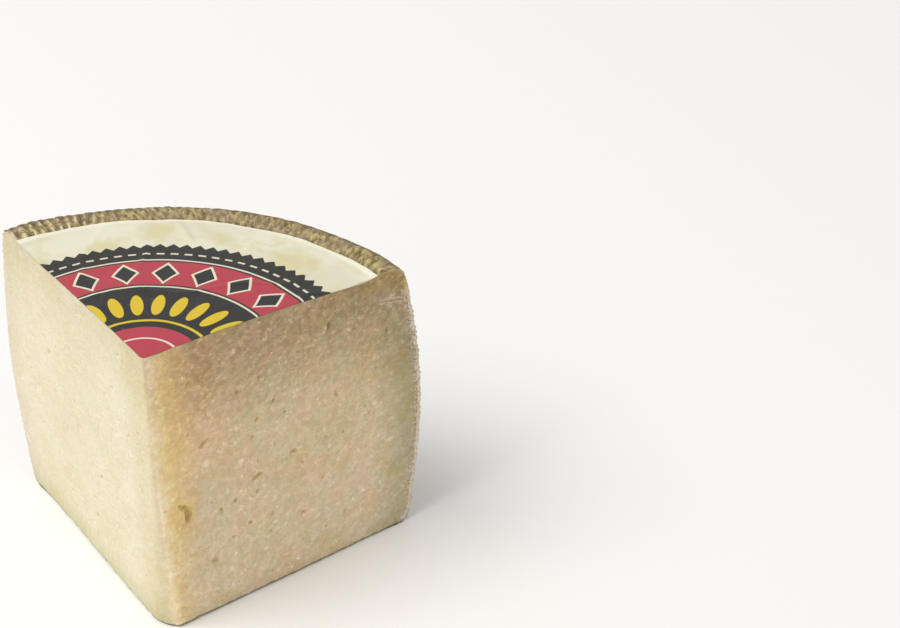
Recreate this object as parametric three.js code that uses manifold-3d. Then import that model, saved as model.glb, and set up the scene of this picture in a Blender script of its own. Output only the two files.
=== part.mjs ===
// A wedge of pressed, cured sheep's milk cheese: a quarter of a drum, with the quarter of the
// drum's round paper label that the same two strokes of the knife cut with it.
// Millimetres, +Z up. Shapes are worked out round the drum's axis. The knife meets that axis at
// the wedge's front edge, the bisector of the cut runs along +Y, and the rind is at the back.
// The finished group stands on z = 0 with its origin under the middle of its box.
import * as THREE from "three";
import { mergeVertices } from "three/addons/utils/BufferGeometryUtils.js";
import Module from "manifold-3d";

// ---- Driving dimensions of the drum ----
const drumRadius = 105; // at the belly, the widest level
const drumHeight = 107; // at the edge of the label
const bellyLevel = 0.52; // height of the belly, as a share of drumHeight
const bellyDrop = 7.4; // how much radius is lost half a height away from the belly
const crownRise = 2.5; // the top is this much higher at the axis than at the label's edge
const labelRadius = 87.5;
const shoulderRun = 5.5; // length of the rounding at the top edge, both ways
const footRun = 5; // the same at the bottom edge
const footSpread = 2; // the drum has settled: its foot is this much wider towards +X
const ringRise = 0.65; // the ring round the label stands this much above the crown's curve
const cornerRise = 1.1; // and this much more where the knife has drawn it up, at the two cuts

// ---- Driving dimensions of the cut ----
const cutAngle = Math.PI / 2;
const frontEdgeLean = new THREE.Vector2(2.1, -4.5); // foot of the front edge, off the drum's axis
const noseSetback = { left: 8, right: 5.6 }; // how far the blunt nose eats into each face at the foot
const noseSetbackTop = 1.4;
const noseTaper = 2.4; // power with which the nose narrows upwards
const noseFullness = 0.45; // 0 is a flat nose, 1 reaches out to the sharp edge
const knifeWave = 0.35; // uneven stroke of the knife, each way

// ---- Relief of the rind, pressed in by a plaited grass belt ----
const strandsPerTurn = 176;
const sideRows = 11; // rows of slanted strands between shoulder and foot
const ringRowShare = 0.62; // share of the top edge that the ribs round the label take
const ringSlant = -0.12; // sideways run of a rib for each millimetre of its length
const strandSlant = 1.6; // the same for the strands on the side, which lie at about 30 degrees
const ringRelief = 0.6; // half depth of the ribs round the label
const sideRelief = 0.34; // half depth of the strands on the side
const rowEndShare = 0.3; // relief that is left where two rows meet
const rowSeam = 0.3; // how far the line between two rows is sunk

// ---- The paper label ----
const paper = 0.35; // the sheet with its glue
const paperGap = 0.3;
const paperWave = 0.5; // uneven cut of the label's rim
const paperShort = 0.9; // how much smaller its radius is at the back

// ---- Eyes in the paste, the widest first: places on a face are along it from the front edge and
// up from the base, and tilt is in degrees from the level ----
const eyes = [
  { side: "right", along: 11.2, height: 45, length: 5.8, width: 3.6, tilt: -60 },
  { side: "right", along: 19.5, height: 69, length: 4.2, width: 1.5, tilt: 40 },
  { side: "right", along: 39, height: 47.5, length: 4.2, width: 1.6, tilt: 35 },
  { side: "right", along: 53.5, height: 51.5, length: 3.4, width: 1.4, tilt: 30 },
  { side: "right", along: 20.8, height: 21, length: 2.8, width: 2.2, tilt: 0 },
  { side: "right", along: 24.5, height: 40, length: 2.4, width: 1.4, tilt: 90 },
  { side: "right", along: 71.5, height: 67, length: 2.4, width: 1.5, tilt: -60 },
  { side: "right", along: 69, height: 95.5, length: 2.6, width: 1.6, tilt: 50 },
  { side: "right", along: 43, height: 22.5, length: 2.2, width: 1.5, tilt: 0 },
  { side: "left", along: 72.5, height: 72, length: 2.8, width: 1.6, tilt: -50 },
  { side: "left", along: 41, height: 39, length: 2, width: 1.5, tilt: 0 },
  { side: "left", along: 47.5, height: 19, length: 2.2, width: 1.4, tilt: -40 },
];

const wasm = await Module();
wasm.setup();

// ---- Conversions between closed geometries and solids ----
function solidFrom(geometry) {
  geometry.deleteAttribute("normal");
  geometry.deleteAttribute("uv");
  const merged = mergeVertices(geometry, 1e-4);
  const index = merged.index.array;
  const kept = [];
  for (let i = 0; i < index.length; i += 3) {
    const [a, b, c] = index.subarray(i, i + 3);
    if (a !== b && b !== c && c !== a) kept.push(a, b, c);
  }
  const vertProperties = merged.attributes.position.array;
  return new wasm.Manifold(new wasm.Mesh({ numProp: 3, vertProperties, triVerts: new Uint32Array(kept) }));
}

function geometryFrom(solid) {
  const mesh = solid.getMesh();
  const geometry = new THREE.BufferGeometry();
  geometry.setAttribute("position", new THREE.BufferAttribute(mesh.vertProperties, 3));
  geometry.setIndex(new THREE.BufferAttribute(mesh.triVerts, 1));
  geometry.computeVertexNormals();
  return geometry;
}

// ---- The drum's section: x is the radius, y the height ----
function sideRadius(z) {
  return drumRadius - bellyDrop * (2 * (z / drumHeight - bellyLevel)) ** 2;
}

function sideSlope(z) {
  return ((-8 * bellyDrop) / drumHeight) * (z / drumHeight - bellyLevel);
}

function topHeight(r) {
  return drumHeight + crownRise * (1 - (r / labelRadius) ** 2);
}

const sideTop = drumHeight - shoulderRun;
const sideFoot = footRun;
const ringOuter = sideRadius(sideTop) - shoulderRun;
const seatRadius = labelRadius + 2 * paperWave;
const seatDepth = paper + paperGap - 0.05; // the sheet's face stands just proud of the cheese

const sideCurve = new THREE.QuadraticBezierCurve(
  new THREE.Vector2(sideRadius(sideTop), sideTop),
  new THREE.Vector2(
    sideRadius(sideTop) + (sideSlope(sideTop) * (sideFoot - sideTop)) / 2,
    (sideTop + sideFoot) / 2,
  ),
  new THREE.Vector2(sideRadius(sideFoot), sideFoot),
);
const shoulderCurve = new THREE.QuadraticBezierCurve(
  new THREE.Vector2(ringOuter, topHeight(ringOuter)),
  new THREE.Vector2(sideRadius(drumHeight), topHeight(ringOuter) - 0.3),
  new THREE.Vector2(sideRadius(sideTop), sideTop),
);
const ringCurve = new THREE.LineCurve(
  new THREE.Vector2(seatRadius + 0.3, topHeight(seatRadius)),
  new THREE.Vector2(ringOuter, topHeight(ringOuter)),
);
const footCurve = new THREE.QuadraticBezierCurve(
  new THREE.Vector2(sideRadius(sideFoot), sideFoot),
  new THREE.Vector2(sideRadius(0) + 0.4, 0),
  new THREE.Vector2(sideRadius(0) - footRun, 0),
);
const topEdge = new THREE.CurvePath();
topEdge.add(ringCurve);
topEdge.add(shoulderCurve);

// One row of the plait along a stretch of the section, in equal steps: full relief in the middle
// and little at the ends, where the strands turn to the other slant. The shift is how far round
// the drum a strand has run, and it carries on from row to row.
function rowStations(curve, from, to, steps, relief, shiftFrom, shiftTo) {
  const stations = [];
  for (let k = 0; k < steps; k++) {
    const share = k / steps;
    const t = from + (to - from) * share;
    const tangent = curve.getTangent(t);
    const fullness = Math.sin(Math.PI * share);
    stations.push({
      point: curve.getPoint(t),
      out: new THREE.Vector2(-tangent.y, tangent.x),
      relief: relief * (rowEndShare + (1 - rowEndShare) * fullness),
      sink: rowSeam * (1 - fullness),
      shift: shiftFrom + (shiftTo - shiftFrom) * share,
    });
  }
  return stations;
}

function plainStation(x, y, shift) {
  return { point: new THREE.Vector2(x, y), out: new THREE.Vector2(0, 1), relief: 0, sink: 0, shift };
}

// Rings that the label and its seat share, as shares of the label's radius.
const labelShares = [0, 0.5, 0.75, 0.875, 1];

// The whole section, from the axis at the top to the axis at the base.
function drumStations() {
  const ringShift = ringSlant * topEdge.getLength() * ringRowShare;
  const rowShift = (strandSlant * (sideTop - sideFoot)) / sideRows;
  const edgeShift = ringShift - rowShift * 0.7;
  const stations = [
    plainStation(0, topHeight(0) - seatDepth, 0),
    ...labelShares.slice(1, -1).map((share) => labelRadius * share).map((r) => plainStation(r, topHeight(r) - seatDepth, 0)),
    plainStation(seatRadius, topHeight(seatRadius) - seatDepth, 0),
    ...rowStations(topEdge, 0, ringRowShare, 4, ringRelief, 0, ringShift),
    ...rowStations(topEdge, ringRowShare, 1, 3, ringRelief * 0.8, ringShift, edgeShift),
  ];
  for (let row = 0; row < sideRows; row++) {
    const shifts = row % 2 ? [edgeShift + rowShift, edgeShift] : [edgeShift, edgeShift + rowShift];
    stations.push(...rowStations(sideCurve, row / sideRows, (row + 1) / sideRows, 2, sideRelief, ...shifts));
  }
  const footShift = edgeShift + (sideRows % 2) * rowShift;
  stations.push(...rowStations(footCurve, 0, 1, 3, sideRelief, footShift, edgeShift));
  stations.push(plainStation(sideRadius(0) - footRun, 0, edgeShift));
  stations.push(plainStation(0, 0, 0));
  return stations;
}

// Strands aren't all equally deep: waves round the drum and along its section, whole in a turn.
function strandDepth(angle, height) {
  return 0.8 + 0.3 * Math.sin(9 * angle + height / 11) * Math.cos(14 * angle - height / 7);
}

// Extra radius of the settled foot, at an angle from -Y and a height.
function spread(angle, height) {
  const towards = Math.max(Math.sin(angle - Math.PI / 6), 0);
  return footSpread * towards * (1 - height / drumHeight) ** 3;
}

// Extra height of the raised ring, at an angle from -Y, a radius and a height of the section: it
// grows out of the label's outer part and dies out below the shoulder.
function rise(angle, radius, height) {
  const offBack = Math.abs((angle % (2 * Math.PI)) - Math.PI);
  const full = ringRise + cornerRise * THREE.MathUtils.smoothstep(offBack, 0.454, 0.733);
  return full * THREE.MathUtils.smoothstep(radius, 80, 93) * THREE.MathUtils.smoothstep(height, 92, 104);
}

// The drum: its section turned in steps of half a strand, each station pushed out on a strand's
// crest and in between two strands, and shifted round so that the strands slant.
function drumSolid() {
  const stations = drumStations();
  const steps = 2 * strandsPerTurn;
  const geometry = new THREE.LatheGeometry(stations.map((s) => s.point).reverse(), steps);
  const place = geometry.attributes.position;
  for (let i = 0; i <= steps; i++) {
    for (let j = 0; j < stations.length; j++) {
      const station = stations[stations.length - 1 - j];
      const turned = (2 * Math.PI * (i % steps)) / steps;
      const push = (i % 2 ? -1 : 1) * station.relief * strandDepth(turned, station.point.y) - station.sink;
      const angle = turned + station.shift / drumRadius;
      const settled = station.point.x > 0 ? spread(angle, station.point.y) : 0;
      const r = station.point.x + station.out.x * push + settled;
      const lifted = rise(angle, station.point.x, station.point.y);
      const z = Math.max(station.point.y + station.out.y * push + lifted, 0);
      place.setXYZ(i * stations.length + j, r * Math.sin(angle), z, r * Math.cos(angle));
    }
  }
  geometry.rotateX(Math.PI / 2);
  return solidFrom(geometry);
}

// ---- The two strokes of the knife ----
const faceAngle = { left: (Math.PI + cutAngle) / 2, right: (Math.PI - cutAngle) / 2 };
const rimReach = 100; // radius at which the strokes meet the rind
const farReach = 1.62; // the cutter runs this many times further than the rind

function frontEdge(z) {
  const lean = 1 - z / drumHeight;
  return new THREE.Vector3(frontEdgeLean.x * lean, frontEdgeLean.y * lean, z);
}

function faceDirection(side, z) {
  const rim = new THREE.Vector3(Math.cos(faceAngle[side]), Math.sin(faceAngle[side]), 0);
  return rim.multiplyScalar(rimReach).setZ(z).sub(frontEdge(z)).normalize();
}

function faceNormal(side, z) {
  const along = faceDirection(side, z);
  const turn = side === "left" ? 1 : -1;
  return new THREE.Vector3(-along.y * turn, along.x * turn, 0);
}

// A point on a cut face: along from the front edge and z up, with the uneven stroke in it.
function facePoint(side, along, z) {
  const phase = side === "left" ? 0.4 : 2.1;
  const fade = Math.min(along / 25, 1);
  const wave = Math.sin(along / 19 + phase) * Math.cos(z / 24 + phase) + 0.5 * Math.sin(z / 10 - along / 33);
  const place = frontEdge(z).addScaledVector(faceDirection(side, z), along);
  return place.addScaledVector(faceNormal(side, z), knifeWave * wave * fade);
}

function setback(side, z) {
  const low = Math.max(1 - z / drumHeight, 0);
  return noseSetbackTop + (noseSetback[side] - noseSetbackTop) * low ** noseTaper;
}

// The nose between the faces, across = 0 at the left one and 1 at the right one: a bowed line
// whose middle is pulled from the chord towards the sharp edge.
function nosePoint(across, z) {
  const left = facePoint("left", setback("left", z), z);
  const right = facePoint("right", setback("right", z), z);
  const chord = left.clone().lerp(right, across);
  return chord.lerp(frontEdge(z), noseFullness * 2 * across * (1 - across));
}

// The space between the strokes: a box with its sides bent onto the two faces and the nose.
function knifeSolid() {
  const box = new THREE.BoxGeometry(1, 1, 1, 5, 9, 9);
  const place = box.attributes.position;
  const low = -4;
  const high = drumHeight + 8;
  for (let i = 0; i < place.count; i++) {
    const across = place.getX(i) + 0.5;
    const depth = place.getY(i) + 0.5;
    const z = low + (high - low) * (place.getZ(i) + 0.5);
    const far = (side) => facePoint(side, rimReach * farReach, z);
    const near = (side) => facePoint(side, setback(side, z) + (rimReach * farReach - setback(side, z)) * depth, z);
    let point = nosePoint(across, z).lerp(far("left").lerp(far("right"), across), depth);
    if (across < 1e-6) point = near("left");
    if (across > 1 - 1e-6) point = near("right");
    place.setXYZ(i, point.x, point.y, point.z);
  }
  return solidFrom(box);
}

// ---- Eyes: small hollows that the knife has opened, longer than wide ----
function eyeSolid({ side, along, height, length, width, tilt }) {
  const eye = new THREE.IcosahedronGeometry(1, 1);
  eye.scale(length / 2, width / 2, width / 2);
  const level = faceDirection(side, height);
  const out = faceNormal(side, height);
  const across = new THREE.Vector3().crossVectors(out, level);
  const turn = new THREE.Matrix4().makeRotationAxis(out, THREE.MathUtils.degToRad(tilt) * (across.z > 0 ? 1 : -1));
  eye.applyMatrix4(new THREE.Matrix4().makeBasis(level, across, out).premultiply(turn));
  const centre = facePoint(side, along, height).addScaledVector(out, -0.1 * width);
  eye.translate(centre.x, centre.y, centre.z);
  return solidFrom(eye);
}

// ---- The label: a thin crowned disc with a slightly uneven rim ----
function labelSolid() {
  const lift = paperGap - seatDepth;
  const under = labelShares.map((share) => new THREE.Vector2(labelRadius * share, lift));
  const over = under.map((point) => new THREE.Vector2(point.x, lift + paper)).reverse();
  const section = [...under, ...over];
  const steps = 120;
  const geometry = new THREE.LatheGeometry(section, steps);
  const place = geometry.attributes.position;
  for (let i = 0; i <= steps; i++) {
    const angle = (2 * Math.PI * (i % steps)) / steps;
    const wave = paperWave * Math.sin(11 * angle) * Math.cos(5 * angle + 1);
    const short = paperShort * Math.max(Math.cos(2 * (angle - Math.PI)), 0);
    const rim = 1 + (wave - short) / labelRadius;
    for (let j = 0; j < section.length; j++) {
      const r = section[j].x * rim;
      const height = topHeight(section[j].x) + section[j].y + rise(angle, section[j].x, drumHeight);
      place.setXYZ(i * section.length + j, r * Math.sin(angle), height, r * Math.cos(angle));
    }
  }
  geometry.rotateX(Math.PI / 2);
  return solidFrom(geometry);
}

// ---- Materials ----
const paste = new THREE.MeshStandardMaterial({ color: 0xe6d9b4, roughness: 0.55, metalness: 0 });
const printedPaper = new THREE.MeshStandardMaterial({ color: 0xe9e4c8, roughness: 0.6, metalness: 0 });

// ---- The wedge ----
const knife = knifeSolid();
let cheeseSolid = drumSolid().intersect(knife);
for (const eye of eyes) cheeseSolid = cheeseSolid.subtract(eyeSolid(eye));

const cheese = new THREE.Mesh(geometryFrom(cheeseSolid), paste);
cheese.name = "cheese";

const label = new THREE.Mesh(geometryFrom(labelSolid().intersect(knife)), printedPaper);
label.name = "label";

const wedge = new THREE.Group();
wedge.add(cheese, label);

const box = new THREE.Box3().setFromObject(wedge);
const middle = box.getCenter(new THREE.Vector3());
wedge.position.set(-middle.x, -middle.y, -box.min.z);

const group = new THREE.Group();
group.add(wedge);
export default group;
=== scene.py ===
# %% [markdown]
# # A wedge of cured sheep's milk cheese
# A quarter of a pressed drum, cut with two strokes of a knife through the paper label on top.
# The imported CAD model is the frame: it fixes the size and the place of the two pieces, the cheese
# and its label. This script dresses them: a rind with the relief of a plaited grass belt, a waxy
# paste with eyes and pale curd flecks, and a printed paper that has stained in the cellar.
# Sizes are worked out in millimetres, as in the CAD, and become metres when a mesh is made.

# %% Load the frame
import math

import bpy
import numpy as np
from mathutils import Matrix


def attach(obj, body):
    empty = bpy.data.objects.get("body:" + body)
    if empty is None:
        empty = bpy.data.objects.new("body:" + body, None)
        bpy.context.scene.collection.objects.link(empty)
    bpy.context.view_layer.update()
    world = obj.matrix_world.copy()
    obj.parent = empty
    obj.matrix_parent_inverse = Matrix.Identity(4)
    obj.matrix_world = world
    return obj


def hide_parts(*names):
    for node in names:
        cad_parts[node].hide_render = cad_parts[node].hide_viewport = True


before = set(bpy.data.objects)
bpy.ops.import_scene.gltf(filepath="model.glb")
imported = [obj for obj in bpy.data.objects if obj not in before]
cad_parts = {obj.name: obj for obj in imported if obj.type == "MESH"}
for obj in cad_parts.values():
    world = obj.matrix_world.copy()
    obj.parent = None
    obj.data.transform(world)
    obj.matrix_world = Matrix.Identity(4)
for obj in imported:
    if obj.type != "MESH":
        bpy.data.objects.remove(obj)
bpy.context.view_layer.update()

MM = 0.001

# %% [markdown]
# ## The camera
# The photograph looks down on the wedge by about a third of a right angle and almost along its
# bisector, from a good arm's length. The place was found by fitting the corners of the wedge, so
# it is given round the drum's axis, which the front edge of the wedge stands on.

# %% Camera
DRUM_AXIS = np.array([-0.0153, -52.1741, 0.0])  # mm, from the origin of the frame
TURN, RISE = math.radians(10.12), math.radians(33.67)
DISTANCE, RIGHT_OFF, UP_OFF = 808.0, -96.4, -105.1  # mm
FOCAL_PIXELS, PICTURE_WIDTH, SENSOR_WIDTH = 2388.0, 900, 36.0

back = np.array([math.sin(TURN) * math.cos(RISE), -math.cos(TURN) * math.cos(RISE), math.sin(RISE)])
right = np.array([math.cos(TURN), math.sin(TURN), 0.0])
up = np.cross(back, right)
eye_point = DRUM_AXIS + DISTANCE * back - RIGHT_OFF * right - UP_OFF * up

camera = bpy.data.objects.new("camera", bpy.data.cameras.new("camera"))
camera.data.sensor_width = SENSOR_WIDTH
camera.data.lens = FOCAL_PIXELS * SENSOR_WIDTH / PICTURE_WIDTH
camera.data.clip_start = 0.05
camera.location = eye_point * MM
camera.rotation_euler = (math.pi / 2 - RISE, 0.0, TURN)
bpy.context.scene.collection.objects.link(camera)
bpy.context.scene.camera = camera
print("camera at", [round(float(v) * MM, 3) for v in eye_point], "lens", round(camera.data.lens, 1))

# %% [markdown]
# ## The drum's section
# A drum of pressed cheese is a solid of revolution. Its section runs from the seat of the label
# over a ring, round the shoulder, down the bellied side and round the foot. The ring stands a
# little above the label, most of all at the two cuts, because the rind has dried hard while the
# middle sank. The curves are the CAD's own, so the dressed piece and the solid agree to a
# fraction of a millimetre. Each point of the section also carries the row of the plait that it
# lies in.

# %% Driving dimensions, as in the CAD
DRUM_RADIUS, DRUM_HEIGHT = 105.0, 107.0
BELLY_LEVEL, BELLY_DROP = 0.52, 7.4
CROWN_RISE, LABEL_RADIUS = 2.5, 87.5
SHOULDER_RUN, FOOT_RUN, FOOT_SPREAD = 5.5, 5.0, 2.0
STRANDS_PER_TURN, SIDE_ROWS, RING_ROW_SHARE = 176, 11, 0.62
RING_RISE, CORNER_RISE = 0.65, 1.1
CORNER_ANGLES = (0.454, 0.733)  # off the middle, between which the ring rises to its corners
RING_GROWS, RING_DIES = (80, 93), (92, 104)  # radii and heights between which the rise fades
RING_SLANT, STRAND_SLANT = -0.12, 1.6
PAPER, PAPER_PROUD, PAPER_WAVE, PAPER_SHORT = 0.3, 0.05, 0.5, 0.9
UNDER_PAPER, UNDER_PAPER_DIP = 2.6, 0.24  # the rind starts under the paper's wavy rim, and lower
SEAT_RADIUS = LABEL_RADIUS - 1.8
SEAT_DEPTH = PAPER - PAPER_PROUD + 0.02


def side_radius(z):
    """Radius of the side at a height: a parabola, widest at the belly."""
    return DRUM_RADIUS - BELLY_DROP * (2 * (z / DRUM_HEIGHT - BELLY_LEVEL)) ** 2


def top_height(r):
    """Height of the crowned top at a radius: a shallow parabola, highest on the axis."""
    return DRUM_HEIGHT + CROWN_RISE * (1 - (r / LABEL_RADIUS) ** 2)


def smooth_step(value, low, high):
    """0 below low, 1 above high, and 3t^2 - 2t^3 in between."""
    t = np.clip((np.asarray(value, float) - low) / (high - low), 0, 1)
    return t * t * (3 - 2 * t)


def ring_rise(angle, radius, z=DRUM_HEIGHT):
    """Extra height of the raised ring, more at the cuts; angle is from +X. It grows out of the
    label's outer part and dies out below the shoulder."""
    full = RING_RISE + CORNER_RISE * smooth_step(np.abs(angle - math.pi / 2), *CORNER_ANGLES)
    return full * smooth_step(radius, *RING_GROWS) * smooth_step(z, *RING_DIES)


def bezier(a, b, c, count=300):
    """Points of a quadratic curve from a to c that starts towards b and ends coming from b."""
    t = np.linspace(0, 1, count)[:, None]
    return (1 - t) ** 2 * np.array(a) + 2 * t * (1 - t) * np.array(b) + t**2 * np.array(c)


# %% The section as one fine line
SIDE_TOP, SIDE_FOOT = DRUM_HEIGHT - SHOULDER_RUN, FOOT_RUN
RING_OUTER = side_radius(SIDE_TOP) - SHOULDER_RUN
side_slope = -8 * BELLY_DROP / DRUM_HEIGHT * (SIDE_TOP / DRUM_HEIGHT - BELLY_LEVEL)
side_middle = (SIDE_TOP + SIDE_FOOT) / 2
belly_point = (side_radius(SIDE_TOP) + side_slope * (SIDE_FOOT - SIDE_TOP) / 2, side_middle)

ring_line = np.linspace((SEAT_RADIUS + 0.1, 0), (RING_OUTER, 0), 300)
under_paper = np.clip(1 - (ring_line[:, 0] - SEAT_RADIUS) / UNDER_PAPER, 0, 1)
ring_line[:, 1] = top_height(ring_line[:, 0]) - UNDER_PAPER_DIP * under_paper**0.6
shoulder_line = bezier(
    ring_line[-1], (side_radius(DRUM_HEIGHT), ring_line[-1][1] - 0.3), (side_radius(SIDE_TOP), SIDE_TOP)
)
side_line = bezier(shoulder_line[-1], belly_point, (side_radius(SIDE_FOOT), SIDE_FOOT), 1200)
foot_line = bezier(side_line[-1], (side_radius(0) + 0.4, 0), (side_radius(0) - FOOT_RUN, 0))


def running_length(points):
    """Length along a line of points, from its start to each of them."""
    return np.concatenate([[0], np.cumsum(np.linalg.norm(np.diff(points, axis=0), axis=1))])


section_line = np.concatenate([ring_line, shoulder_line[1:], side_line[1:], foot_line[1:]])
section_run = running_length(section_line)
top_run = running_length(ring_line)[-1] + running_length(shoulder_line)[-1]
side_run = running_length(side_line)[-1]
side_ends = top_run + side_run * np.arange(SIDE_ROWS + 1) / SIDE_ROWS
row_ends = np.concatenate([[0, top_run * RING_ROW_SHARE], side_ends, [section_run[-1]]])
ring_shift = RING_SLANT * row_ends[1]
row_shift = STRAND_SLANT * (SIDE_TOP - SIDE_FOOT) / SIDE_ROWS
edge_shift = ring_shift - 0.7 * row_shift
side_shifts = [edge_shift + row_shift * (k % 2) for k in range(SIDE_ROWS + 1)]
row_shifts = [0, ring_shift] + side_shifts + [edge_shift]
print("section:", round(section_run[-1], 1), "mm long in", len(row_ends) - 1, "rows of strands")

# %% Stations down the section
ROW_STEPS = [16, 10] + [18] * SIDE_ROWS + [13]  # odd in all, so that the faces can use every second one
stations = np.concatenate(
    [np.linspace(row_ends[k], row_ends[k + 1], n, endpoint=False) for k, n in enumerate(ROW_STEPS)]
    + [row_ends[-1:]]
)
row_of = np.clip(np.searchsorted(row_ends, stations, side="right") - 1, 0, len(ROW_STEPS) - 1)
share_in_row = (stations - row_ends[row_of]) / (row_ends[row_of + 1] - row_ends[row_of])
section = np.stack([np.interp(stations, section_run, section_line[:, k]) for k in (0, 1)], 1)
tangent = np.gradient(section, stations, axis=0)
tangent /= np.linalg.norm(tangent, axis=1, keepdims=True)
outward = np.stack([-tangent[:, 1], tangent[:, 0]], 1)
shift_at = np.interp(stations, row_ends, row_shifts)
print("stations:", len(stations), "outward at the belly", outward[len(stations) // 2].round(2))

# %% [markdown]
# ## Uneven work
# Nothing in a hand-pressed cheese repeats exactly. Value noise gives smooth, seeded unevenness:
# random numbers on whole places, blended in between.


# %% Noise
def noise(x, y, seed):
    """Random numbers at whole places, blended by 3t^2 - 2t^3 in between; -1 to 1."""
    table = np.random.default_rng(seed).uniform(-1, 1, (128, 128))
    x, y = np.broadcast_arrays(np.asarray(x, float), np.asarray(y, float))
    column, row = np.floor(x).astype(int), np.floor(y).astype(int)
    u, v = x - column, y - row
    u, v = u * u * (3 - 2 * u), v * v * (3 - 2 * v)
    near = table[row % 128, column % 128] * (1 - u) + table[row % 128, (column + 1) % 128] * u
    far = table[(row + 1) % 128, column % 128] * (1 - u) + table[(row + 1) % 128, (column + 1) % 128] * u
    return near * (1 - v) + far * v


# %% [markdown]
# ## The relief of the rind
# The curd is pressed inside a belt of plaited grass, which leaves rows of slanted ridges. Round
# the label stand short ribs, then a narrow row that slants the other way, then the herringbone of
# the side. A ridge is a bent cosine across the strands: thin ribs with wide troughs on the ring,
# broad strands with narrow grooves on the side. How far a strand has run round the drum changes
# direction from row to row, which draws the zigzag. Hands, brushes and shelves have worn it down
# in patches, and over the middle of the turn the short ribs are rubbed away.


# %% Relief
RING_RELIEF, SHOULDER_RELIEF, SIDE_RELIEF = 0.72, 0.68, 0.34  # half depths, near the CAD's
ROW_END_SHARE, ROW_SEAM = 0.3, 0.3  # how much of the relief a row's ends keep, and their dip in mm
RIB_SHARPNESS, GROOVE_SHARPNESS = 1.7, 1.6
RIBS_GONE, RIBS_WHOLE, RIBS_LEFT = math.radians(198), math.radians(212), 0.35  # round from -Y
row_relief = np.array([RING_RELIEF, SHOULDER_RELIEF] + [SIDE_RELIEF] * (SIDE_ROWS + 1))


def strand_phase(angle, shift, run):
    """Place across the strands in strands: the angle less the way run round the drum, a bit uneven."""
    along = angle * DRUM_RADIUS
    uneven = 0.3 * noise(along / 19, run / 15, 3) + 0.12 * noise(along / 5, run / 6, 4)
    return (along - shift) / (2 * math.pi * DRUM_RADIUS / STRANDS_PER_TURN) + uneven


def strand_relief(angle, run, row, share, shift):
    """Height of the relief and -1 to 1 across a strand. The cosine, as 0 to 1, is raised to a power:
    a rib on the ring and its edge, and upside down a sharp groove elsewhere. Times the row's depth,
    which is full in mid-row and over the edge, uneven from strand to strand and worn in patches."""
    phase = strand_phase(angle, shift, run)
    wave = np.cos(2 * math.pi * phase)
    rib = 2 * ((1 + wave) / 2) ** RIB_SHARPNESS - 1
    groove = 1 - 2 * ((1 - wave) / 2) ** GROOVE_SHARPNESS
    across = np.where(row <= 1, rib, groove)
    strand = np.round(phase).astype(int)
    own = np.random.default_rng(8).uniform(0.55, 1.2, (64, 512))[row % 64, strand % 512]
    share = np.where(row == 0, np.minimum(share, 0.5), np.where(row == 1, np.maximum(share, 0.5), share))
    fullness = np.sin(math.pi * share)
    along = angle * DRUM_RADIUS
    ribs_here = np.clip((angle - RIBS_GONE) / (RIBS_WHOLE - RIBS_GONE), 0, 1)
    worn_ring = np.clip(0.85 + 0.6 * noise(along / 21, run / 17, 5), 0.3, 1.25)
    worn_ring = worn_ring * (RIBS_LEFT + (1 - RIBS_LEFT) * ribs_here)
    worn_side = np.clip(0.72 + 0.8 * noise(along / 17, run / 12, 9), 0.15, 1.2)
    worn = np.where(row <= 1, worn_ring, worn_side)
    depth = row_relief[row] * (ROW_END_SHARE + (1 - ROW_END_SHARE) * fullness) * own * worn
    grain = 0.05 * noise(phase * 6, run / 1.6, 6) + 0.08 * noise(along / 2.3, run / 1.9, 7)
    return across * depth - ROW_SEAM * (1 - fullness) + grain, across


def settled_foot(angle, z):
    """Extra radius of the foot, which has spread towards +X; angle is from the -Y side."""
    return FOOT_SPREAD * np.clip(np.sin(angle - math.pi / 6), 0, None) * (1 - z / DRUM_HEIGHT) ** 3


# %% [markdown]
# ## The two strokes of the knife
# The cut faces are almost flat. They lean a little at the foot of the front edge, wave by a third
# of a millimetre, and meet in a blunt nose that widens towards the base.

# %% Cut faces
FRONT_EDGE_LEAN = np.array([2.1, -4.5])
NOSE_SETBACK, NOSE_SETBACK_TOP, NOSE_TAPER = {"left": 8.0, "right": 5.6}, 1.4, 2.4
KNIFE_WAVE, RIM_REACH = 0.35, 100.0
FACE_ANGLE = {"left": math.radians(135), "right": math.radians(45)}
WAVE_PHASE = {"left": 0.4, "right": 2.1}


def front_edge(z):
    """Where the strokes meet at a height: on the axis at the top, leaning forward at the foot."""
    return FRONT_EDGE_LEAN * (1 - np.asarray(z)[..., None] / DRUM_HEIGHT)


def face_frame(side, z):
    """Direction along a face and out of it at a height, from the front edge to the rim."""
    rim = RIM_REACH * np.array([math.cos(FACE_ANGLE[side]), math.sin(FACE_ANGLE[side])])
    along = rim - front_edge(z)
    along = along / np.linalg.norm(along, axis=-1, keepdims=True)
    turn = 1 if side == "left" else -1
    return along, np.stack([-along[..., 1] * turn, along[..., 0] * turn], -1)


def face_point(side, along, z, sunk=0.0):
    """A point of a face: along from the front edge, z up, out by the knife's wave, in by sunk."""
    direction, normal = face_frame(side, z)
    phase = WAVE_PHASE[side]
    wave = np.sin(along / 19 + phase) * np.cos(z / 24 + phase) + 0.5 * np.sin(z / 10 - along / 33)
    lift = KNIFE_WAVE * wave * np.minimum(along / 25, 1) - sunk
    flat = front_edge(z) + direction * np.asarray(along)[..., None] + normal * np.asarray(lift)[..., None]
    return np.concatenate([flat, np.broadcast_to(z, flat.shape[:-1])[..., None]], -1)


def reach_of(side, radius, z):
    """How far along a face lies a given radius: the longer root of |edge + along * direction| = radius."""
    edge, (direction, _) = front_edge(z), face_frame(side, z)
    half = (edge * direction).sum(-1)
    return -half + np.sqrt(half**2 + radius**2 - (edge**2).sum(-1))


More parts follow.
